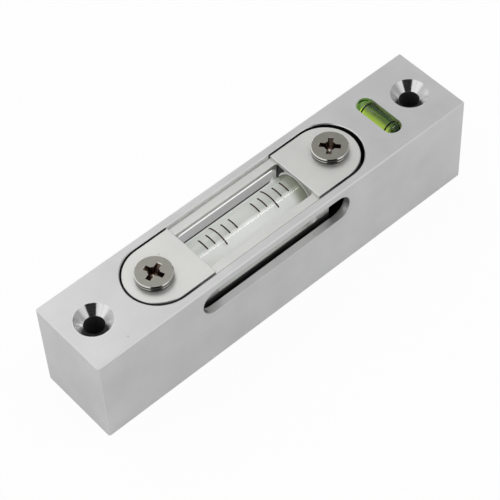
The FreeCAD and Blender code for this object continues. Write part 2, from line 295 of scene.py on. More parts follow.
# %% Satin grain: a fine height and a slow cloud of tone
def make_satin_group():
    tree, entry, leave = new_group(
        "satin grain",
        [("Grain size", "NodeSocketFloat", 9000.0), ("Cloud size", "NodeSocketFloat", 90.0)],
        [("Grain", "NodeSocketFloat"), ("Cloud", "NodeSocketFloat"), ("Specks", "NodeSocketFloat")],
    )
    place = add_node(tree, "ShaderNodeTexCoord")
    grain = set_inputs(add_node(tree, "ShaderNodeTexNoise"), Detail=3.0, Roughness=0.6)
    cloud = set_inputs(add_node(tree, "ShaderNodeTexNoise"), Detail=4.0, Roughness=0.55)
    specks = add_node(tree, "ShaderNodeTexVoronoi", feature="F1")
    tree.links.new(place.outputs["Object"], grain.inputs["Vector"])
    tree.links.new(place.outputs["Object"], cloud.inputs["Vector"])
    tree.links.new(place.outputs["Object"], specks.inputs["Vector"])
    tree.links.new(entry.outputs["Grain size"], grain.inputs["Scale"])
    tree.links.new(entry.outputs["Cloud size"], cloud.inputs["Scale"])
    specks.inputs["Scale"].default_value = 260.0
    near = math_node(tree, "LESS_THAN", specks.outputs["Distance"], 0.055)
    chosen = math_node(tree, "GREATER_THAN", specks.outputs["Color"], 0.72)
    tree.links.new(grain.outputs["Fac"], leave.inputs["Grain"])
    tree.links.new(cloud.outputs["Fac"], leave.inputs["Cloud"])
    tree.links.new(math_node(tree, "MULTIPLY", near, chosen), leave.inputs["Specks"])
    return tree


satin_group = make_satin_group()
print("group:", satin_group.name)


# %% Turned rings: tool marks and a disc mask round an upright axis
def make_turned_group():
    tree, entry, leave = new_group(
        "turned rings",
        [
            ("Centre x", "NodeSocketFloat", 0.0),
            ("Radius", "NodeSocketFloat", 0.004),
            ("Pitch", "NodeSocketFloat", 0.0001),
        ],
        [("Rings", "NodeSocketFloat"), ("Inside", "NodeSocketFloat"), ("Angle", "NodeSocketFloat")],
    )
    axes = object_axes(tree)
    along = math_node(tree, "SUBTRACT", axes["X"], entry.outputs["Centre x"])
    across = axes["Y"]
    along_squared = math_node(tree, "MULTIPLY", along, along)
    across_squared = math_node(tree, "MULTIPLY", across, across)
    distance = math_node(tree, "SQRT", math_node(tree, "ADD", along_squared, across_squared))
    turns = math_node(tree, "DIVIDE", distance, entry.outputs["Pitch"])
    rings = math_node(tree, "SINE", math_node(tree, "MULTIPLY", turns, 2 * math.pi))
    tree.links.new(rings, leave.inputs["Rings"])
    inside = math_node(tree, "LESS_THAN", distance, entry.outputs["Radius"])
    tree.links.new(inside, leave.inputs["Inside"])
    tree.links.new(math_node(tree, "ARCTAN2", across, along), leave.inputs["Angle"])
    return tree


turned_group = make_turned_group()
print("group:", turned_group.name)


# %% Box mask: 1 inside a box of the block, 0 outside it
def make_box_group():
    tree, entry, leave = new_group(
        "box mask",
        [("Low", "NodeSocketVector", (0.0, 0.0, 0.0)), ("High", "NodeSocketVector", (1.0, 1.0, 1.0))],
        [("Mask", "NodeSocketFloat")],
    )
    place = add_node(tree, "ShaderNodeTexCoord")
    splits = []
    for socket in (place.outputs["Object"], entry.outputs["Low"], entry.outputs["High"]):
        split = add_node(tree, "ShaderNodeSeparateXYZ")
        tree.links.new(socket, split.inputs[0])
        splits.append(split)
    mask = None
    for axis in "XYZ":
        here, low, high = (split.outputs[axis] for split in splits)
        above = math_node(tree, "GREATER_THAN", here, low)
        below = math_node(tree, "LESS_THAN", here, high)
        between = math_node(tree, "MULTIPLY", above, below)
        mask = between if mask is None else math_node(tree, "MULTIPLY", mask, between)
    tree.links.new(mask, leave.inputs["Mask"])
    return tree


box_group = make_box_group()
print("group:", box_group.name)


# %% Edge mask: 1 on chamfers that lean halfway between level and upright
def make_edge_group():
    tree, entry, leave = new_group(
        "cut edges",
        [("Flattest", "NodeSocketFloat", 0.85), ("Steepest", "NodeSocketFloat", 0.55)],
        [("Mask", "NodeSocketFloat")],
    )
    place = add_node(tree, "ShaderNodeTexCoord")
    split = add_node(tree, "ShaderNodeSeparateXYZ")
    tree.links.new(place.outputs["Normal"], split.inputs[0])
    lean = math_node(tree, "ABSOLUTE", split.outputs["Z"])
    above = math_node(tree, "GREATER_THAN", lean, entry.outputs["Steepest"])
    below = math_node(tree, "LESS_THAN", lean, entry.outputs["Flattest"])
    tree.links.new(math_node(tree, "MULTIPLY", above, below), leave.inputs["Mask"])
    return tree


edge_group = make_edge_group()
print("group:", edge_group.name)


# %% [markdown]
# ## Metal finishes
# The screws, washers and springs are the Principled shader with Metallic at 1.
# The block is blasted and anodised: the oxide scatters light widely, so its
# roughness is high, Metallic is a little under 1, and a fine grain breaks up
# the gloss. Its countersinks and its chamfered edges were cut after that and
# are bright; the chamfers' lighter colour is partly that bare metal and partly
# a painted highlight, which the slot's rims are left without. Narrow places,
# such as the pocket, its waist and the cross vial's recess, could be separate
# pieces with finishes of their own, but the solid is one piece of metal, so box
# masks on Object coordinates give each its tone: painted shade in the pocket,
# on the slot's back sill and on the right of the recess, painted light on the
# waist's wall and on the left of the recess, and on the carrier painted shade
# low on its front side and in a far corner of its window. The bores of the
# holes get painted shade too.

# %% Places of the block and carrier with painted shade, painted light or no edge highlight
HOLE_X, SINK_R, BORE_R = 43.2 * MM, 4.13 * MM, 2.26 * MM
POCKET_HALF, WINDOW_HALF = 8.02 * MM, 14 * MM
recess_low, recess_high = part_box("cross_vial_shell")
RECESS_MIDDLE, RECESS_HALF = (recess_low.x + recess_high.x) / 2, 6.2 * MM
RECESS_SIDE = recess_high.x - 0.3 * MM


def box_of(x, y, z):
    """Lowest and highest corner of a box from its reach along each axis."""
    return tuple(zip(x, y, z))


# Painted shade: the deep pocket, and its ends beside the window, are painted nearly black.
POCKET_SHADE_BOX = box_of((-36 * MM, 28 * MM), (-POCKET_HALF, POCKET_HALF), (5 * MM, TOP - 2.2 * MM))
POCKET_NEAR_SHADE = box_of(
    (-36 * MM, TUBE_X - WINDOW_HALF), (-POCKET_HALF, POCKET_HALF), (5 * MM, TOP - 0.2 * MM)
)
POCKET_FAR_SHADE = box_of(
    (TUBE_X + WINDOW_HALF, 28 * MM), (-POCKET_HALF, POCKET_HALF), (5 * MM, TOP - 0.2 * MM)
)
# Painted light: the pocket's wall at the waist is painted near-white and mostly not metallic, so it
# looks lit.
WAIST_WALL_LIGHT = box_of(
    (TUBE_X - WINDOW_HALF, TUBE_X + WINDOW_HALF),
    (7.9 * MM, 8.1 * MM),
    (TOP - 1.8 * MM, TOP - 0.16 * MM),
)
SLOT_RIM = box_of((-30 * MM, 20 * MM), (-9.9 * MM, -9.5 * MM), (14.9 * MM, 22.4 * MM))
# Painted shade: the slot's back sill is painted darker.
BACK_SILL_SHADE = box_of((-30 * MM, 22 * MM), (7.9 * MM, 9.8 * MM), (14.85 * MM, 15.5 * MM))
# Painted light on the left of the cross vial's recess, white and not metallic, and painted shade on its
# right, near black. Its right end wall is a dimmer, yellowish grey, half metallic.
RECESS_LEFT_LIGHT = box_of(
    (recess_low.x - 0.2 * MM, RECESS_MIDDLE), (-RECESS_HALF, RECESS_HALF), (19 * MM, TOP - 0.02 * MM)
)
RECESS_RIGHT_SHADE = box_of(
    (RECESS_MIDDLE - 0.2 * MM, RECESS_SIDE), (-RECESS_HALF, RECESS_HALF), (19 * MM, TOP - 0.6 * MM)
)
RECESS_WALL = box_of(
    (RECESS_SIDE, recess_high.x + 0.2 * MM), (-RECESS_HALF, RECESS_HALF), (19 * MM, TOP - 0.02 * MM)
)
# Painted shade: a far corner of the carrier's window is painted nearly black.
WINDOW_CORNER_SHADE = box_of(
    (TUBE_X + 13.8 * MM, TUBE_X + 14.2 * MM), (3.2 * MM, 5.8 * MM), (15 * MM, TOP - 1.05 * MM)
)
# Painted shade: the carrier's front side, low down, is painted dark.
BODY_SHADE_BOX = box_of((-40 * MM, 30 * MM), (-9 * MM, -6.9 * MM), (0, TOP - 8 * MM))
print("boxes round the tube from x mm:", round((TUBE_X - WINDOW_HALF) / MM, 2))


# %% Satin aluminium
def new_material(name):
    material = bpy.data.materials.new(name)
    material.use_nodes = True
    return material, material.node_tree, material.node_tree.nodes["Principled BSDF"]


def tone_ramp(tree, factor, dark, light, low=0.3, high=0.7):
    ramp = add_node(tree, "ShaderNodeValToRGB")
    ramp.color_ramp.elements[0].position = low
    ramp.color_ramp.elements[1].position = high
    ramp.color_ramp.elements[0].color = (*dark, 1)
    ramp.color_ramp.elements[1].color = (*light, 1)
    tree.links.new(factor, ramp.inputs["Fac"])
    return ramp.outputs["Color"]


def mix_colour(tree, factor, first, second):
    node = add_node(tree, "ShaderNodeMix", data_type="RGBA")
    sockets = [s for s in node.inputs if s.enabled]
    for socket, value in zip(sockets, (factor, first, second)):
        if isinstance(value, bpy.types.NodeSocket):
            tree.links.new(value, socket)
        elif isinstance(value, (int, float)):
            socket.default_value = value
        else:
            socket.default_value = (*value, 1)
    return [s for s in node.outputs if s.enabled][0]


def mix_value(tree, factor, first, second):
    node = add_node(tree, "ShaderNodeMix", data_type="FLOAT")
    sockets = [s for s in node.inputs if s.enabled]
    for socket, value in zip(sockets, (factor, first, second)):
        if isinstance(value, (int, float)):
            socket.default_value = value
        else:
            tree.links.new(value, socket)
    return [s for s in node.outputs if s.enabled][0]


def bump(tree, height, shader, strength, distance):
    node = set_inputs(add_node(tree, "ShaderNodeBump"), Strength=strength, Distance=distance)
    tree.links.new(height, node.inputs["Height"])
    tree.links.new(node.outputs["Normal"], shader.inputs["Normal"])


def brushed_streaks(tree, angle):
    """Soft light and dark streaks that run down a turned cone."""
    streaks = add_node(tree, "ShaderNodeTexNoise", noise_dimensions="1D")
    set_inputs(streaks, Scale=1.5, Detail=1.5, Roughness=0.6)
    tree.links.new(angle, streaks.inputs["W"])
    return tone_ramp(tree, streaks.outputs["Fac"], (0.52, 0.52, 0.52), (0.81, 0.81, 0.81), 0.32, 0.66)


def satin_aluminium(name, dark, light, roughness, no_highlight_box=((0, 0, 0), (0, 0, 0))):
    """Returns the material's tree and its three values, for more to be laid on them."""
    material, tree, shader = new_material(name)
    shader.inputs["Metallic"].default_value = 0.9
    satin = place_group(tree, satin_group)
    colour = tone_ramp(tree, satin.outputs["Cloud"], dark, light)
    colour = mix_colour(tree, satin.outputs["Specks"], colour, tuple(0.80 * c for c in dark))
    rough = mix_value(tree, satin.outputs["Cloud"], roughness - 0.03, roughness + 0.03)
    # Chamfers get a lighter colour and less roughness: partly the bare metal of the cut, partly a
    # painted highlight, left off inside the box given.
    highlight_off = place_group(tree, box_group, Low=no_highlight_box[0], High=no_highlight_box[1]).outputs["Mask"]
    edges = math_node(tree, "SUBTRACT", place_group(tree, edge_group).outputs["Mask"], highlight_off)
    edges = math_node(tree, "MAXIMUM", edges, 0.0)
    colour = mix_colour(tree, edges, colour, (0.72, 0.72, 0.715))
    rough = mix_value(tree, edges, rough, 0.28)
    return material, tree, shader, colour, rough, satin.outputs["Grain"]


def close_satin(tree, shader, colour, rough, height):
    tree.links.new(colour, shader.inputs["Base Color"])
    tree.links.new(rough, shader.inputs["Roughness"])
    bump(tree, height, shader, 0.12, 0.02 * MM)


def block_aluminium():
    material, tree, shader, colour, rough, height = satin_aluminium(
        "blasted aluminium", (0.58, 0.58, 0.585), (0.65, 0.65, 0.655), 0.42, SLOT_RIM
    )
    metal = 0.9
    # Each box paints shade or light: painted shade in the pocket, its ends and the slot's back sill,
    # painted light on the waist's wall and the recess's left, painted shade on the recess's right. The
    # recess's right end wall is a dimmer, yellowish grey, half metallic.
    for (low, high), tone, share in (
        (POCKET_SHADE_BOX, (0.08, 0.08, 0.08), 0.9),
        (POCKET_NEAR_SHADE, (0.05, 0.05, 0.05), 0.9),
        (POCKET_FAR_SHADE, (0.05, 0.05, 0.05), 0.9),
        (WAIST_WALL_LIGHT, (0.95, 0.95, 0.94), 0.2),
        (BACK_SILL_SHADE, (0.44, 0.44, 0.44), 0.9),
        (RECESS_LEFT_LIGHT, (0.95, 0.95, 0.93), 0.0),
        (RECESS_RIGHT_SHADE, (0.02, 0.02, 0.02), 0.0),
        (RECESS_WALL, (0.50, 0.50, 0.42), 0.5),
    ):
        inside = place_group(tree, box_group, Low=low, High=high).outputs["Mask"]
        colour = mix_colour(tree, inside, colour, tone)
        metal = mix_value(tree, inside, metal, share)
    for x in (-HOLE_X, HOLE_X):
        sink = place_group(tree, turned_group, Centre_x=x, Radius=SINK_R, Pitch=0.16 * MM)
        inside = sink.outputs["Inside"]
        colour = mix_colour(tree, inside, colour, brushed_streaks(tree, sink.outputs["Angle"]))
        rough = mix_value(tree, inside, rough, 0.11)
        metal = mix_value(tree, inside, metal, 0.96)
        height = mix_value(tree, inside, height, sink.outputs["Rings"])
        # Painted shade: the bore of each hole is dark grey.
        bore = place_group(tree, turned_group, Centre_x=x, Radius=BORE_R, Pitch=0.16 * MM)
        colour = mix_colour(tree, bore.outputs["Inside"], colour, (0.13, 0.13, 0.13))
        rough = mix_value(tree, bore.outputs["Inside"], rough, 0.7)
    tree.links.new(metal, shader.inputs["Metallic"])
    close_satin(tree, shader, colour, rough, height)
    return material


def carrier_aluminium():
    material, tree, shader, *values = satin_aluminium(
        "carrier aluminium", (0.65, 0.65, 0.63), (0.71, 0.71, 0.685), 0.40
    )
    # Painted shade low on the front side and in a far corner of the window.
    for (low, high), tone in ((BODY_SHADE_BOX, (0.20, 0.20, 0.20)), (WINDOW_CORNER_SHADE, (0.03, 0.03, 0.028))):
        inside = place_group(tree, box_group, Low=low, High=high).outputs["Mask"]
        values[0] = mix_colour(tree, inside, values[0], tone)
    close_satin(tree, shader, *values)
    return material


block_finish = block_aluminium()
carrier_finish = carrier_aluminium()
print("finishes:", block_finish.name, carrier_finish.name)


# %% Nickel and steel
RECESS_REACH, RECESS_DEPTH = 2.7 * MM, 1.8 * MM


def turned_metal(name, colour, roughness, x, edge_highlight_tone=0.68, side_shade_tone=0.3, recess_top=None):
    """Turned face with painted highlights on its chamfers, painted shade on its upright sides and, in a
    screw, a cross recess with painted shade and a painted glint round its rim.
    """
    material, tree, shader = new_material(name)
    shader.inputs["Metallic"].default_value = 1.0
    turned = place_group(tree, turned_group, Centre_x=x, Radius=3 * MM, Pitch=0.18 * MM)
    satin = place_group(tree, satin_group, Grain_size=6000.0, Cloud_size=700.0)
    tone = tone_ramp(tree, satin.outputs["Cloud"], tuple(0.9 * c for c in colour), colour)
    rough = mix_value(tree, satin.outputs["Cloud"], roughness - 0.04, roughness + 0.05)
    # Painted shade: the upright sides are painted darker.
    sides = place_group(tree, edge_group, Flattest=0.3, Steepest=-1.0).outputs["Mask"]
    tone = mix_colour(tree, sides, tone, tuple(side_shade_tone * c for c in colour))
    # Painted highlight: the chamfers are painted lighter.
    edges = place_group(tree, edge_group).outputs["Mask"]
    tone = mix_colour(tree, edges, tone, (edge_highlight_tone, 0.99 * edge_highlight_tone, 0.95 * edge_highlight_tone))
    rough = mix_value(tree, edges, rough, 0.15)
    if recess_top:
        # Painted shade: the cross recess is painted dark brown.
        low = (x - RECESS_REACH, -RECESS_REACH, recess_top - RECESS_DEPTH)
        high = (x + RECESS_REACH, RECESS_REACH, recess_top - 0.02 * MM)
        recess = place_group(tree, box_group, Low=low, High=high).outputs["Mask"]
        tone = mix_colour(tree, recess, tone, (0.13, 0.09, 0.07))
        rough = mix_value(tree, recess, rough, 0.25)
        # Painted glint: a light band round the top of the recess's walls.
        low = (x - RECESS_REACH, -RECESS_REACH, recess_top - 0.12 * MM)
        rim = place_group(tree, box_group, Low=low, High=high).outputs["Mask"]
        tone = mix_colour(tree, rim, tone, (0.88, 0.86, 0.82))
    tree.links.new(tone, shader.inputs["Base Color"])
    tree.links.new(rough, shader.inputs["Roughness"])
    height = math_node(tree, "ADD", turned.outputs["Rings"], satin.outputs["Grain"])
    bump(tree, height, shader, 0.05, 0.01 * MM)
    return material


near_low, near_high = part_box("pivot_screw")
far_low, far_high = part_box("adjusting_screw")
NEAR_X, FAR_X = (near_low.x + near_high.x) / 2, (far_low.x + far_high.x) / 2
NICKEL = (0.305, 0.30, 0.267)
near_nickel = turned_metal("screw nickel near", NICKEL, 0.32, NEAR_X, recess_top=near_high.z)
far_nickel = turned_metal("screw nickel far", NICKEL, 0.32, FAR_X, recess_top=far_high.z)
near_washer = turned_metal("washer nickel near", NICKEL, 0.32, NEAR_X, edge_highlight_tone=0.5)
far_washer = turned_metal("washer nickel far", NICKEL, 0.32, FAR_X, edge_highlight_tone=0.5)
STEEL = (0.50, 0.50, 0.50)
pillar_steel = turned_metal("turned steel", STEEL, 0.3, NEAR_X, side_shade_tone=1.0)
spring_steel = turned_metal("spring steel", STEEL, 0.3, FAR_X, edge_highlight_tone=0.5, side_shade_tone=1.0)

for node_name, finish in (
    ("block", block_finish),
    ("vial_carrier", carrier_finish),
    ("pivot_screw", near_nickel),
    ("pivot_washer", near_washer),
    ("adjusting_screw", far_nickel),
    ("adjusting_washer", far_washer),
    ("pivot_pillar", pillar_steel),
    ("adjusting_spring", spring_steel),
):
    for place in nodes[node_name].material_slots:
        place.material = finish


# %% [markdown]
# ## The spring under the far ear
# The adjusting screw pulls the carrier down against a coil spring, and some of
# its coils show through the slot. A spring could be a bevelled curve, but the
# Screw modifier makes it from one ring of wire, which it turns round the screw
# and lifts by the pitch. Two bisects then grind its ends flat. It stands in the
# block and holds the carrier up.

# %% Spring
WIRE_R, COIL_TURNS = 0.4 * MM, 6
spring_low, spring_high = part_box("adjusting_spring")
coil_r = (spring_high.x - spring_low.x) / 2 - WIRE_R
path_low = spring_low.z + 0.15 * MM
path_high = spring_high.z - 0.15 * MM

select_none()
bpy.ops.mesh.primitive_circle_add(
    vertices=16, radius=WIRE_R, location=(coil_r, 0, 0), rotation=(math.pi / 2, 0, 0)
)
spring = bpy.context.object
settle(spring)
turns = spring.modifiers.new("turns", "SCREW")
turns.axis = "Z"
turns.screw_offset = (path_high - path_low) / COIL_TURNS
turns.iterations = COIL_TURNS
turns.steps = turns.render_steps = 32
apply_all(spring)
spring.location = (FAR_X, 0, path_low)
settle(spring)
tidy_mesh(spring)
pick_verts(spring, lambda co: True)
bpy.ops.mesh.fill_holes(sides=0)
for z, above in ((spring_low.z, False), (spring_high.z, True)):
    bpy.ops.mesh.select_all(action="SELECT")
    bpy.ops.mesh.bisect(
        plane_co=(0, 0, z), plane_no=(0, 0, 1), use_fill=True, clear_outer=above, clear_inner=not above
    )
bpy.ops.object.mode_set(mode="OBJECT")
tidy_mesh(spring)
spring.name = spring.data.name = "coil_spring"
spring.data.materials.append(spring_steel)
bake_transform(spring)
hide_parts("adjusting_spring")
print("coil_spring faces:", len(spring.data.polygons), "coil radius mm:", round(coil_r / MM, 2))


# %% [markdown]
# ## Glass and liquids
# Where glass meets liquid the light bends only by the ratio of the two indices,
# so the inner wall of a vial has its own material with that ratio. A liquid
# then needs no bending surface of its own. The bore of a good vial is ground by
# hand, and that makes what lies in it a little milky, so the spirit's surface,
# which lies against the ground wall, carries a pale veil. The veil's whiter,
# denser front is painted light, and its darker far end painted shade. Glass
# lets the light through, or what lies behind it would be in shadow.

# %% Clear materials
GLASS_IOR, SPIRIT_IOR, ACRYLIC_IOR = 1.50, 1.36, 1.49


def clear_material(name, colour, ior):
    """Glass that lets light through to what lies behind it by a Transparent shader."""
    material, tree, shader = new_material(name)
    set_inputs(shader, Base_Color=(*colour, 1), IOR=ior, Roughness=0.0)
    shader.inputs["Transmission Weight"].default_value = 1.0
    out = tree.nodes["Material Output"]
    path = add_node(tree, "ShaderNodeLightPath")
    clear = add_node(tree, "ShaderNodeBsdfTransparent")
    clear.inputs["Color"].default_value = (*colour, 1)
    blend = add_node(tree, "ShaderNodeMixShader")
    share = math_node(tree, "MAXIMUM", path.outputs["Is Shadow Ray"], path.outputs["Is Diffuse Ray"])
    tree.links.new(share, blend.inputs[0])
    tree.links.new(shader.outputs[0], blend.inputs[1])
    tree.links.new(clear.outputs[0], blend.inputs[2])
    tree.links.new(blend.outputs[0], out.inputs["Surface"])
    return material


glass_outer = clear_material("vial glass", (0.985, 0.995, 0.985), GLASS_IOR)
glass_inner = clear_material("vial glass bore", (1, 1, 1), GLASS_IOR / SPIRIT_IOR)
air_skin = clear_material("bubble skin", (1, 1, 1), 1.0)
air_wall = clear_material("bubble wall", (1, 1, 1), SPIRIT_IOR)


def veiled_spirit():
    """A surface that bends nothing and lays a milky veil over the bore, whiter and denser at the front
    as painted light, and darker towards the far end as painted shade.
    """
    material, tree, shader = new_material("clear spirit")
    axes = object_axes(tree)
    # Painted light: the veil is whiter and denser at the front. Painted shade: it darkens towards the
    # far end of the tube.
    front = slope(tree, axes["Y"], -0.6 * MM, -1.2 * MM)
    shade = slope(tree, axes["X"], TUBE_X + 10.5 * MM, TUBE_X + 13 * MM)
    veil = mix_colour(tree, front, (0.88, 0.90, 0.865), (1.0, 1.0, 0.98))
    tree.links.new(mix_colour(tree, shade, veil, (0.40, 0.43, 0.34)), shader.inputs["Base Color"])
    tree.links.new(mix_value(tree, front, 0.60, 0.85), shader.inputs["Alpha"])
    set_inputs(shader, Roughness=1.0, IOR=1.01)
    return material


spirit_film = veiled_spirit()
print("clear materials:", glass_outer.name, glass_inner.name, spirit_film.name)


# %% [markdown]
# ## The main vial
# The real vial is a ground glass tube with a bore that is barrel shaped by a
# few thousandths. It could be a profile spun round its axis, but an open
# cylinder that a Solidify modifier gives a wall is the short way to a tube: the
# inner wall can take a material of its own, and a Bevel rounds the
# fire-polished rims.

# %% Tube
def lying_cylinder(radius, length, centre, turn, fill, count=128):
    select_none()
    bpy.ops.mesh.primitive_cylinder_add(
        vertices=count, radius=radius, depth=length, end_fill_type=fill, location=centre, rotation=turn
    )
    piece = bpy.context.object
    settle(piece)
    return piece


ALONG_X = (0, math.pi / 2, 0)
ALONG_Y = (math.pi / 2, 0, 0)

tube = lying_cylinder(TUBE_R, TUBE_LENGTH, (TUBE_X, 0, TUBE_Z), ALONG_X, "NOTHING")
tidy_mesh(tube)
add_wall(tube, TUBE_R - TUBE_BORE, -1)
add_rims(tube, 0.25 * MM, 3, 50)
apply_all(tube)
tidy_mesh(tube)
finish_piece(tube, "main_vial_tube", "carrier", "vial_glass", ["vial_tube"], glass_outer, glass_inner)


def faces_tube_axis(co, normal):
    return normal.dot(Vector((0, co.y, co.z - TUBE_Z)).normalized()) < -0.7


paint_faces(tube, 1, faces_tube_axis)


# %% Spirit
TUBE_MIDDLE = (TUBE_X, 0, TUBE_Z)
spirit = lying_cylinder(
    TUBE_BORE - 0.01 * MM, TUBE_LENGTH - 2 * PLUG, TUBE_MIDDLE, ALONG_X, "NGON"
)
add_rims(spirit, 0.2 * MM, 3)
apply_all(spirit)
tidy_mesh(spirit)
finish_piece(spirit, "main_spirit", "carrier", "clear_spirit", ["vial_spirit"], spirit_film)


# %% [markdown]
# ## Air bubbles
# A bubble in a lying tube hugs the top of the bore, has round ends, and its foot
# is the level of the liquid. It is a capsule whose two halves are moved apart,
# cut by the bore with a Boolean. A thin skin is then added outside: the light
# passes the skin as it passes the liquid, and bends at the inner wall, which is
# where the liquid ends and the air begins.

# %% Capsule
def capsule(radius, length, centre, along):
    """Ball that is cut in half, moved apart and bridged, its length along X or Y."""
    select_none()
    bpy.ops.mesh.primitive_uv_sphere_add(segments=64, ring_count=32, radius=radius, location=(0, 0, 0))
    piece = bpy.context.object
    straight = length / 2 - radius
    pick_faces(piece, lambda co: co.z > 0)
    bpy.ops.mesh.split()
    bpy.ops.transform.translate(value=(0, 0, straight))
    pick_faces(piece, lambda co: co.z < 0)
    bpy.ops.transform.translate(value=(0, 0, -straight))
    bpy.ops.mesh.select_mode(type="EDGE")
    bpy.ops.mesh.select_all(action="DESELECT")
    bpy.ops.mesh.select_non_manifold()
    bpy.ops.mesh.bridge_edge_loops()
    bpy.ops.object.mode_set(mode="OBJECT")
    piece.rotation_euler = ALONG_X if along == "X" else ALONG_Y
    piece.location = centre
    settle(piece)
    tidy_mesh(piece)
    return piece


def cut_with(piece, cutter, operation):
    cut = piece.modifiers.new("cut", "BOOLEAN")
    cut.operation = operation
    cut.solver = "EXACT"
    cut.object = cutter
    apply_all(piece)
    bpy.data.objects.remove(cutter)


def make_bubble(length, nose, thickness, bore, centre, along):
    lift = bore - thickness + nose
    half_nose = math.sqrt(nose**2 - (nose - thickness) ** 2)
    full = length - 2 * half_nose + 2 * nose
    bubble = capsule(nose, full, (centre[0], centre[1], centre[2] + lift), along)
    turn = ALONG_X if along == "X" else ALONG_Y
    cut_with(bubble, lying_cylinder(bore, 2 * length, centre, turn, "NGON"), "INTERSECT")
    tidy_mesh(bubble)
    add_rims(bubble, 0.12 * nose, 4, 35)
    add_wall(bubble, 0.02 * MM, 1)
    apply_all(bubble)
    tidy_mesh(bubble, 60)
    return bubble


def finish_bubble(bubble, name, body, node, middle, inner):
    finish_piece(bubble, name, body, "air_bubble", [node], air_skin, inner)
    paint_faces(bubble, 1, lambda co, normal: normal.dot(co - Vector(middle)) < 0)


# %% Bubble of the main vial
BUBBLE_LENGTH, BUBBLE_NOSE, BUBBLE_THICK = 11 * MM, 3.2 * MM, 2.4 * MM
bubble_x = TUBE_X + TUBE_LENGTH / 2 - PLUG - 0.3 * MM - BUBBLE_LENGTH / 2
bubble = make_bubble(
    BUBBLE_LENGTH, BUBBLE_NOSE, BUBBLE_THICK, TUBE_BORE - 0.05 * MM, (bubble_x, 0, TUBE_Z), "X"
)
bubble_middle = (bubble_x, 0, TUBE_Z + TUBE_BORE - BUBBLE_THICK / 2)
finish_bubble(bubble, "main_bubble_air", "main_bubble", "vial_bubble", bubble_middle, air_wall)


# %% [markdown]
# ## End plugs and plaster
# A disc of glass closes each end of the tube, and the vial is set in plaster
# that is dabbed in by hand, so its top is a little uneven. A fine grid is lifted
# by a soft noise and extruded to a flat foot, and a Boolean takes the tube's
# shape out of it. The cut is a hair smaller than the tube, so that glass and
# plaster touch, and the white shows through the glass.

# %% Plugs
for side, name in ((-1, "vial_plug_near"), (1, "vial_plug_far")):
    x = TUBE_X + side * (TUBE_LENGTH / 2 - PLUG / 2)
    plug = lying_cylinder(TUBE_BORE - 0.02 * MM, PLUG - 0.02 * MM, (x, 0, TUBE_Z), ALONG_X, "NGON", 96)
    add_rims(plug, 0.3 * MM, 4)
    apply_all(plug)
    tidy_mesh(plug)
    finish_piece(plug, name + "_disc", "carrier", "vial_glass", [name], glass_outer)


# %% Plaster finish
def plaster_material():
    material, tree, shader = new_material("set plaster")
    satin = place_group(tree, satin_group, Grain_size=3500.0, Cloud_size=420.0)
    colour = tone_ramp(tree, satin.outputs["Cloud"], (0.90, 0.90, 0.88), (0.95, 0.95, 0.935))
    tree.links.new(colour, shader.inputs["Base Color"])
    shader.inputs["Roughness"].default_value = 0.85
    bump(tree, satin.outputs["Grain"], shader, 0.4, 0.05 * MM)
    return material


# %% Plaster bed
BED_TOP, BED_HALF_LENGTH, BED_HALF_WIDTH = 16.0 * MM, 13.98 * MM, 5.53 * MM
COLLAR_R = 5.18 * MM
bed_low, bed_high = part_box("plaster_bed")


def plaster_box(half_x, half_y, low, high, x=TUBE_X):
    select_none()
    bpy.ops.mesh.primitive_cube_add(size=2, location=(x, 0, (low + high) / 2))
    piece = bpy.context.object
    piece.scale = (half_x, half_y, (high - low) / 2)
    settle(piece)
    return piece


def uneven_slab(half_x, half_y, low, high):
    """A grid that a soft noise lifts, extruded down to a flat foot."""
    select_none()
    bpy.ops.mesh.primitive_grid_add(
        x_subdivisions=90, y_subdivisions=36, size=2, location=(TUBE_X, 0, high)
    )
    slab = bpy.context.object
    slab.scale = (half_x, half_y, 1)
    settle(slab)
    clouds = bpy.data.textures.new("dabs", "CLOUDS")
    clouds.noise_scale = 1.7 * MM
    dabs = slab.modifiers.new("dabs", "DISPLACE")
    dabs.texture = clouds
    dabs.texture_coords = "LOCAL"
    dabs.direction = "Z"
    dabs.strength = 0.55 * MM
    dabs.mid_level = 0.6
    apply_all(slab)
    pick_verts(slab, lambda co: True)
    bpy.ops.mesh.extrude_region_move(TRANSFORM_OT_translate={"value": (0, 0, low - high)})
    bpy.ops.transform.resize(value=(1, 1, 0), center_override=(TUBE_X, 0, low))
    bpy.ops.object.mode_set(mode="OBJECT")
    tidy_mesh(slab)
    return slab


parts = [uneven_slab(BED_HALF_LENGTH, BED_HALF_WIDTH, bed_low.z, BED_TOP)]
collar_half = ((bed_high.x - bed_low.x) / 2 - BED_HALF_LENGTH - 0.02 * MM) / 2
for side in (-1, 1):
    x = TUBE_X + side * (BED_HALF_LENGTH + 0.01 * MM + collar_half)
    crown = lying_cylinder(COLLAR_R, 2 * collar_half, (x, 0, TUBE_Z), ALONG_X, "NGON", 96)
    cut_with(crown, plaster_box(collar_half, COLLAR_R, bed_low.z, TUBE_Z, x), "UNION")
    parts.append(crown)
for part in parts:
    groove = lying_cylinder(TUBE_R - 0.02 * MM, 2 * TUBE_LENGTH, (TUBE_X, 0, TUBE_Z), ALONG_X, "NGON")
    cut_with(part, groove, "DIFFERENCE")
bed = join_all(parts)
tidy_mesh(bed, 40)
finish_piece(bed, "dabbed_plaster", "carrier", "white_plaster", ["plaster_bed"], plaster_material())


# %% [markdown]
# ## Enamel graduations
# The ten lines are fired on the top of the glass, two millimetres apart, with a
# longer one in each five. They could be drawn in the glass's material, but
# enamel stands a little proud, so each is a slice of an open cylinder that is
# cut back to its sweep and given its thickness by Solidify. Each is made at its
# place, because every line is its own piece of enamel.

# %% Graduations
LINE_PITCH, LINE_FIRST, LINE_WIDTH = 2 * MM, 3 * MM, 0.32 * MM
SHORT_SWEEP, LONG_SWEEP = math.radians(37), math.radians(74)


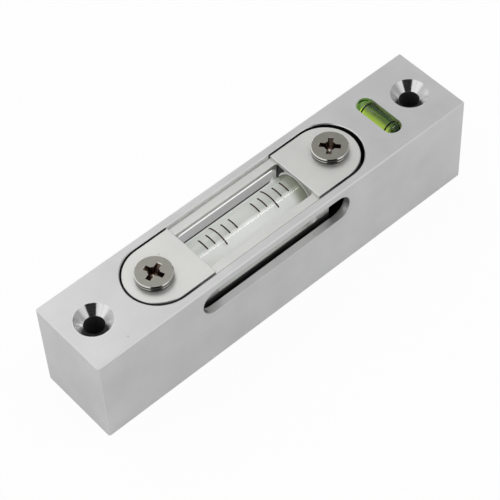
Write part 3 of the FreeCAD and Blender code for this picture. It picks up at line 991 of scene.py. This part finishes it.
def enamel_line(x, sweep):
    line = lying_cylinder(TUBE_R + 0.01 * MM, LINE_WIDTH, (x, 0, TUBE_Z), ALONG_X, "NOTHING", 240)
    half = sweep / 2
    pick_verts(line, lambda co: abs(math.atan2(co.y, co.z - TUBE_Z)) > half)
    bpy.ops.mesh.delete(type="VERT")
    bpy.ops.object.mode_set(mode="OBJECT")
    tidy_mesh(line)
    add_wall(line, 0.045 * MM, 0.6)
    apply_all(line)
    return line


def enamel_material():
    material, tree, shader = new_material("line enamel")
    satin = place_group(tree, satin_group, Grain_size=5000.0, Cloud_size=1500.0)
    colour = tone_ramp(tree, satin.outputs["Cloud"], (0.010, 0.003, 0.001), (0.050, 0.016, 0.005))
    tree.links.new(colour, shader.inputs["Base Color"])
    set_inputs(shader, Roughness=0.6)
    shader.inputs["Specular IOR Level"].default_value = 0.15
    return material


enamel = enamel_material()
lines = []
for side in (-1, 1):
    for step in range(5):
        x = TUBE_X + side * (LINE_FIRST + step * LINE_PITCH)
        lines.append(enamel_line(x, LONG_SWEEP if step == 2 else SHORT_SWEEP))
marks = join_all(lines)
tidy_mesh(marks)
finish_piece(marks, "enamel_graduations", "carrier", "line_enamel", ["graduation_lines"], enamel)


# %% [markdown]
# ## The cross vial
# It is a short acrylic capsule with a green liquid and two printed rings, and a
# cap that closes one end. The capsule helper makes the outside, and a Boolean
# takes out the bore. The colour of the liquid gets deeper with the length of
# the light's way through it, so it is an absorbing volume and not only a paint.
# The liquid's near side has a painted glow, an emission of yellow-green light
# that stands in for the light the round wall gathers, and its far side has
# painted shade.

# %% Cross vial
shell_low, shell_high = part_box("cross_vial_shell")
CROSS_X = (shell_low.x + shell_high.x) / 2
CROSS_R = (shell_high.x - shell_low.x) / 2
CROSS_Z = shell_high.z - CROSS_R
CROSS_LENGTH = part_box("cross_vial_cap")[1].y - shell_low.y
CROSS_BORE = 1.45 * MM
CROSS_INNER = 4.2 * MM
JOINT_Y = shell_high.y

acrylic_outer = clear_material("green acrylic", (0.93, 0.98, 0.70), ACRYLIC_IOR)
acrylic_cap = clear_material("green acrylic cap with painted glow", (0.50, 0.85, 0.16), ACRYLIC_IOR)
outer_shader = acrylic_outer.node_tree.nodes["Principled BSDF"]
outer_shader.inputs["Specular IOR Level"].default_value = 0.12
# Painted glow: the cap gives out a little green light of its own.
cap_shader = acrylic_cap.node_tree.nodes["Principled BSDF"]
cap_shader.inputs["Emission Color"].default_value = (0.36, 0.58, 0.10, 1)
cap_shader.inputs["Emission Strength"].default_value = 0.12
acrylic_inner = clear_material("green acrylic bore", (1, 1, 1), ACRYLIC_IOR / SPIRIT_IOR)


def cross_body(keep_below):
    body = capsule(CROSS_R, CROSS_LENGTH, (CROSS_X, 0, CROSS_Z), "Y")
    pick_verts(body, lambda co: True)
    bpy.ops.mesh.bisect(
        plane_co=(0, JOINT_Y, 0), plane_no=(0, 1, 0), use_fill=True,
        clear_outer=keep_below, clear_inner=not keep_below,
    )
    bpy.ops.object.mode_set(mode="OBJECT")
    tidy_mesh(body)
    return body


shell = cross_body(True)
bore_length = JOINT_Y + CROSS_INNER
bore_middle = (CROSS_X, (JOINT_Y - CROSS_INNER) / 2 + 0.05 * MM, CROSS_Z)
drill = lying_cylinder(CROSS_BORE, bore_length + 0.1 * MM, bore_middle, ALONG_Y, "NGON")
cut_with(shell, drill, "DIFFERENCE")
tidy_mesh(shell)
finish_piece(
    shell, "cross_vial_body", "level_block", "clear_acrylic", ["cross_vial_shell"],
    acrylic_outer, acrylic_inner,
)


def faces_bore(co, normal):
    radial = Vector((co.x - CROSS_X, 0, co.z - CROSS_Z))
    near_axis = radial.length < CROSS_BORE + 0.02 * MM
    return near_axis and -CROSS_INNER - 0.01 * MM < co.y < JOINT_Y - 0.01 * MM


paint_faces(shell, 1, faces_bore)

cap = cross_body(False)
spigot = lying_cylinder(
    CROSS_BORE - 0.02 * MM, 1.0 * MM, (CROSS_X, CROSS_INNER + 0.5 * MM, CROSS_Z), ALONG_Y, "NGON", 64
)
cut_with(cap, spigot, "UNION")
tidy_mesh(cap)
finish_piece(cap, "cross_vial_end_cap", "level_block", "clear_acrylic", ["cross_vial_cap"], acrylic_cap)


# %% Green liquid
def green_liquid():
    material, tree, shader = new_material("green liquid")
    set_inputs(shader, Roughness=0.05, IOR=1.01)
    across = object_axes(tree)["X"]
    # Painted shade: the far side of the liquid is dark and denser. Painted glow: its near side gives
    # out yellow-green light, though it is no lamp.
    painted_shade_side = slope(tree, across, CROSS_X - 0.3 * MM, CROSS_X + 0.6 * MM)
    colour = mix_colour(tree, painted_shade_side, (0.45, 0.72, 0.05), (0.01, 0.05, 0.004))
    tree.links.new(colour, shader.inputs["Base Color"])
    tree.links.new(mix_value(tree, painted_shade_side, 0.07, 0.65), shader.inputs["Alpha"])
    painted_glow_side = slope(tree, across, CROSS_X - 0.05 * MM, CROSS_X - 1.6 * MM)
    shader.inputs["Emission Color"].default_value = (0.66, 0.92, 0.10, 1)
    tree.links.new(math_node(tree, "MULTIPLY", painted_glow_side, 7.5), shader.inputs["Emission Strength"])
    soak = add_node(tree, "ShaderNodeVolumeAbsorption")
    soak.inputs["Color"].default_value = (0.55, 0.88, 0.02, 1)
    soak.inputs["Density"].default_value = 450.0
    tree.links.new(soak.outputs[0], tree.nodes["Material Output"].inputs["Volume"])
    return material


liquid = lying_cylinder(
    CROSS_BORE - 0.01 * MM, 2 * CROSS_INNER - 0.02 * MM, (CROSS_X, 0, CROSS_Z), ALONG_Y, "NGON", 96
)
add_rims(liquid, 0.1 * MM, 3)
apply_all(liquid)
tidy_mesh(liquid)
finish_piece(
    liquid, "cross_liquid", "level_block", "green_spirit", ["cross_vial_spirit"], green_liquid()
)

CROSS_AIR, CROSS_NOSE, CROSS_THICK = 3.5 * MM, 1.15 * MM, 1.3 * MM
air_y = CROSS_INNER - 0.25 * MM - CROSS_AIR / 2
air_place = (CROSS_X, air_y, CROSS_Z)
air = make_bubble(CROSS_AIR, CROSS_NOSE, CROSS_THICK, CROSS_BORE - 0.04 * MM, air_place, "Y")
air_middle = (CROSS_X, air_y, CROSS_Z + CROSS_BORE - CROSS_THICK / 2)
# Painted shade: the bubble's wall in the cross vial is tinted dark green, so the bubble looks darker.
shaded_green_bubble_wall = clear_material("bubble wall with painted shade", (0.30, 0.46, 0.16), SPIRIT_IOR)
finish_bubble(air, "cross_bubble_air", "small_bubble", "cross_vial_bubble", air_middle, shaded_green_bubble_wall)


# %% Printed rings
def ink_material():
    material, tree, shader = new_material("ring ink")
    satin = place_group(tree, satin_group, Grain_size=5000.0, Cloud_size=2500.0)
    colour = tone_ramp(tree, satin.outputs["Cloud"], (0.002, 0.003, 0.001), (0.008, 0.012, 0.004))
    tree.links.new(colour, shader.inputs["Base Color"])
    set_inputs(shader, Roughness=0.6)
    shader.inputs["Specular IOR Level"].default_value = 0.1
    return material


rings = []
for side in (-1, 1):
    y = side * 3.5 * MM
    ring = lying_cylinder(CROSS_R - 0.02 * MM, 0.36 * MM, (CROSS_X, y, CROSS_Z), ALONG_Y, "NOTHING", 96)
    add_wall(ring, 0.04 * MM, 1)
    apply_all(ring)
    rings.append(ring)
ring_pair = join_all(rings)
tidy_mesh(ring_pair)
ink = ink_material()
finish_piece(
    ring_pair, "cross_vial_ink_rings", "level_block", "black_ink", ["cross_vial_rings"], ink
)


# %% [markdown]
# ## Floor and light
# The floor is a plain pale sheet. A wide soft box stands behind the level, so
# that the satin top mirrors it, and a long strip above draws the bright line
# along the glass tube. The rest of the light could come from more boxes, but a
# small product is often shot in a white tent, so the world is one. It is dimmer
# on the far side, and the dark of a stand at the front shows as the black
# streak in each countersink.

# %% Floor
def floor_material():
    material, tree, shader = new_material("pale floor")
    set_inputs(shader, Base_Color=(0.86, 0.86, 0.86, 1), Roughness=0.9)
    path = add_node(tree, "ShaderNodeLightPath")
    white = add_node(tree, "ShaderNodeEmission")
    white.inputs["Color"].default_value = (1, 1, 1, 1)
    white.inputs["Strength"].default_value = 1.0
    blend = add_node(tree, "ShaderNodeMixShader")
    share = math_node(tree, "MULTIPLY", path.outputs["Is Camera Ray"], 0.95)
    mirrored = math_node(tree, "MULTIPLY", path.outputs["Is Glossy Ray"], 0.4)
    share = math_node(tree, "MAXIMUM", share, mirrored)
    seen_through = math_node(tree, "MULTIPLY", path.outputs["Is Transmission Ray"], 0.2)
    share = math_node(tree, "MAXIMUM", share, seen_through)
    tree.links.new(share, blend.inputs[0])
    tree.links.new(shader.outputs[0], blend.inputs[1])
    tree.links.new(white.outputs[0], blend.inputs[2])
    tree.links.new(blend.outputs[0], tree.nodes["Material Output"].inputs["Surface"])
    return material


select_none()
bpy.ops.mesh.primitive_plane_add(size=4.0, location=(0, 0, 0))
floor = bpy.context.object
floor.name = "floor"
floor.data.materials.append(floor_material())


# %% World and lamps
TENT, FAR_SIDE = 0.95, 0.50
FAR_TOWARD, FAR_FROM, FAR_TO = (0.95, 0.0, 0.31), 0.48, 0.74
STAND_TOWARD, STAND_INNER, STAND_OUTER = (-0.39, -0.68, 0.615), 0.925, 0.895


def slope_mask(tree, place, toward, low, high):
    """0 to 1 as a direction of the world turns towards a fixed one."""
    dot = add_node(tree, "ShaderNodeVectorMath", operation="DOT_PRODUCT")
    dot.inputs[1].default_value = Vector(toward).normalized()
    tree.links.new(place, dot.inputs[0])
    return slope(tree, dot.outputs["Value"], low, high)


def make_world():
    """A white tent that is dimmer on the far side, with the dark of a stand at the front."""
    world = bpy.data.worlds.new("studio")
    bpy.context.scene.world = world
    world.use_nodes = True
    tree = world.node_tree
    back = tree.nodes["Background"]
    back.inputs["Color"].default_value = (1, 1, 1, 1)
    place = add_node(tree, "ShaderNodeTexCoord").outputs["Generated"]
    tent = mix_value(tree, slope_mask(tree, place, FAR_TOWARD, FAR_FROM, FAR_TO), TENT, FAR_SIDE)
    tent = mix_value(tree, slope_mask(tree, place, STAND_TOWARD, STAND_OUTER, STAND_INNER), tent, 0.0)
    path = add_node(tree, "ShaderNodeLightPath")
    strength = mix_value(tree, path.outputs["Is Camera Ray"], tent, 1.0)
    tree.links.new(strength, back.inputs["Strength"])


def soft_box(name, place, aim, width, height, glow):
    bpy.ops.object.light_add(type="AREA", location=place)
    lamp = bpy.context.object
    lamp.name = name
    lamp.data.shape = "RECTANGLE"
    lamp.data.size = width
    lamp.data.size_y = height
    lamp.data.energy = glow * math.pi * width * height
    lamp.rotation_euler = (Vector(aim) - Vector(place)).to_track_quat("-Z", "Y").to_euler()
    return lamp


make_world()
soft_box("back_box", (0.06, 0.60, 0.76), (0, 0, 0.02), 0.45, 0.35, 1.1)
soft_box("strip_box", (0.38, -0.26, 0.92), (0.38, 0, 0.02), 0.8, 0.08, 7.0)

# %% View settings
bpy.context.scene.view_settings.view_transform = "Standard"
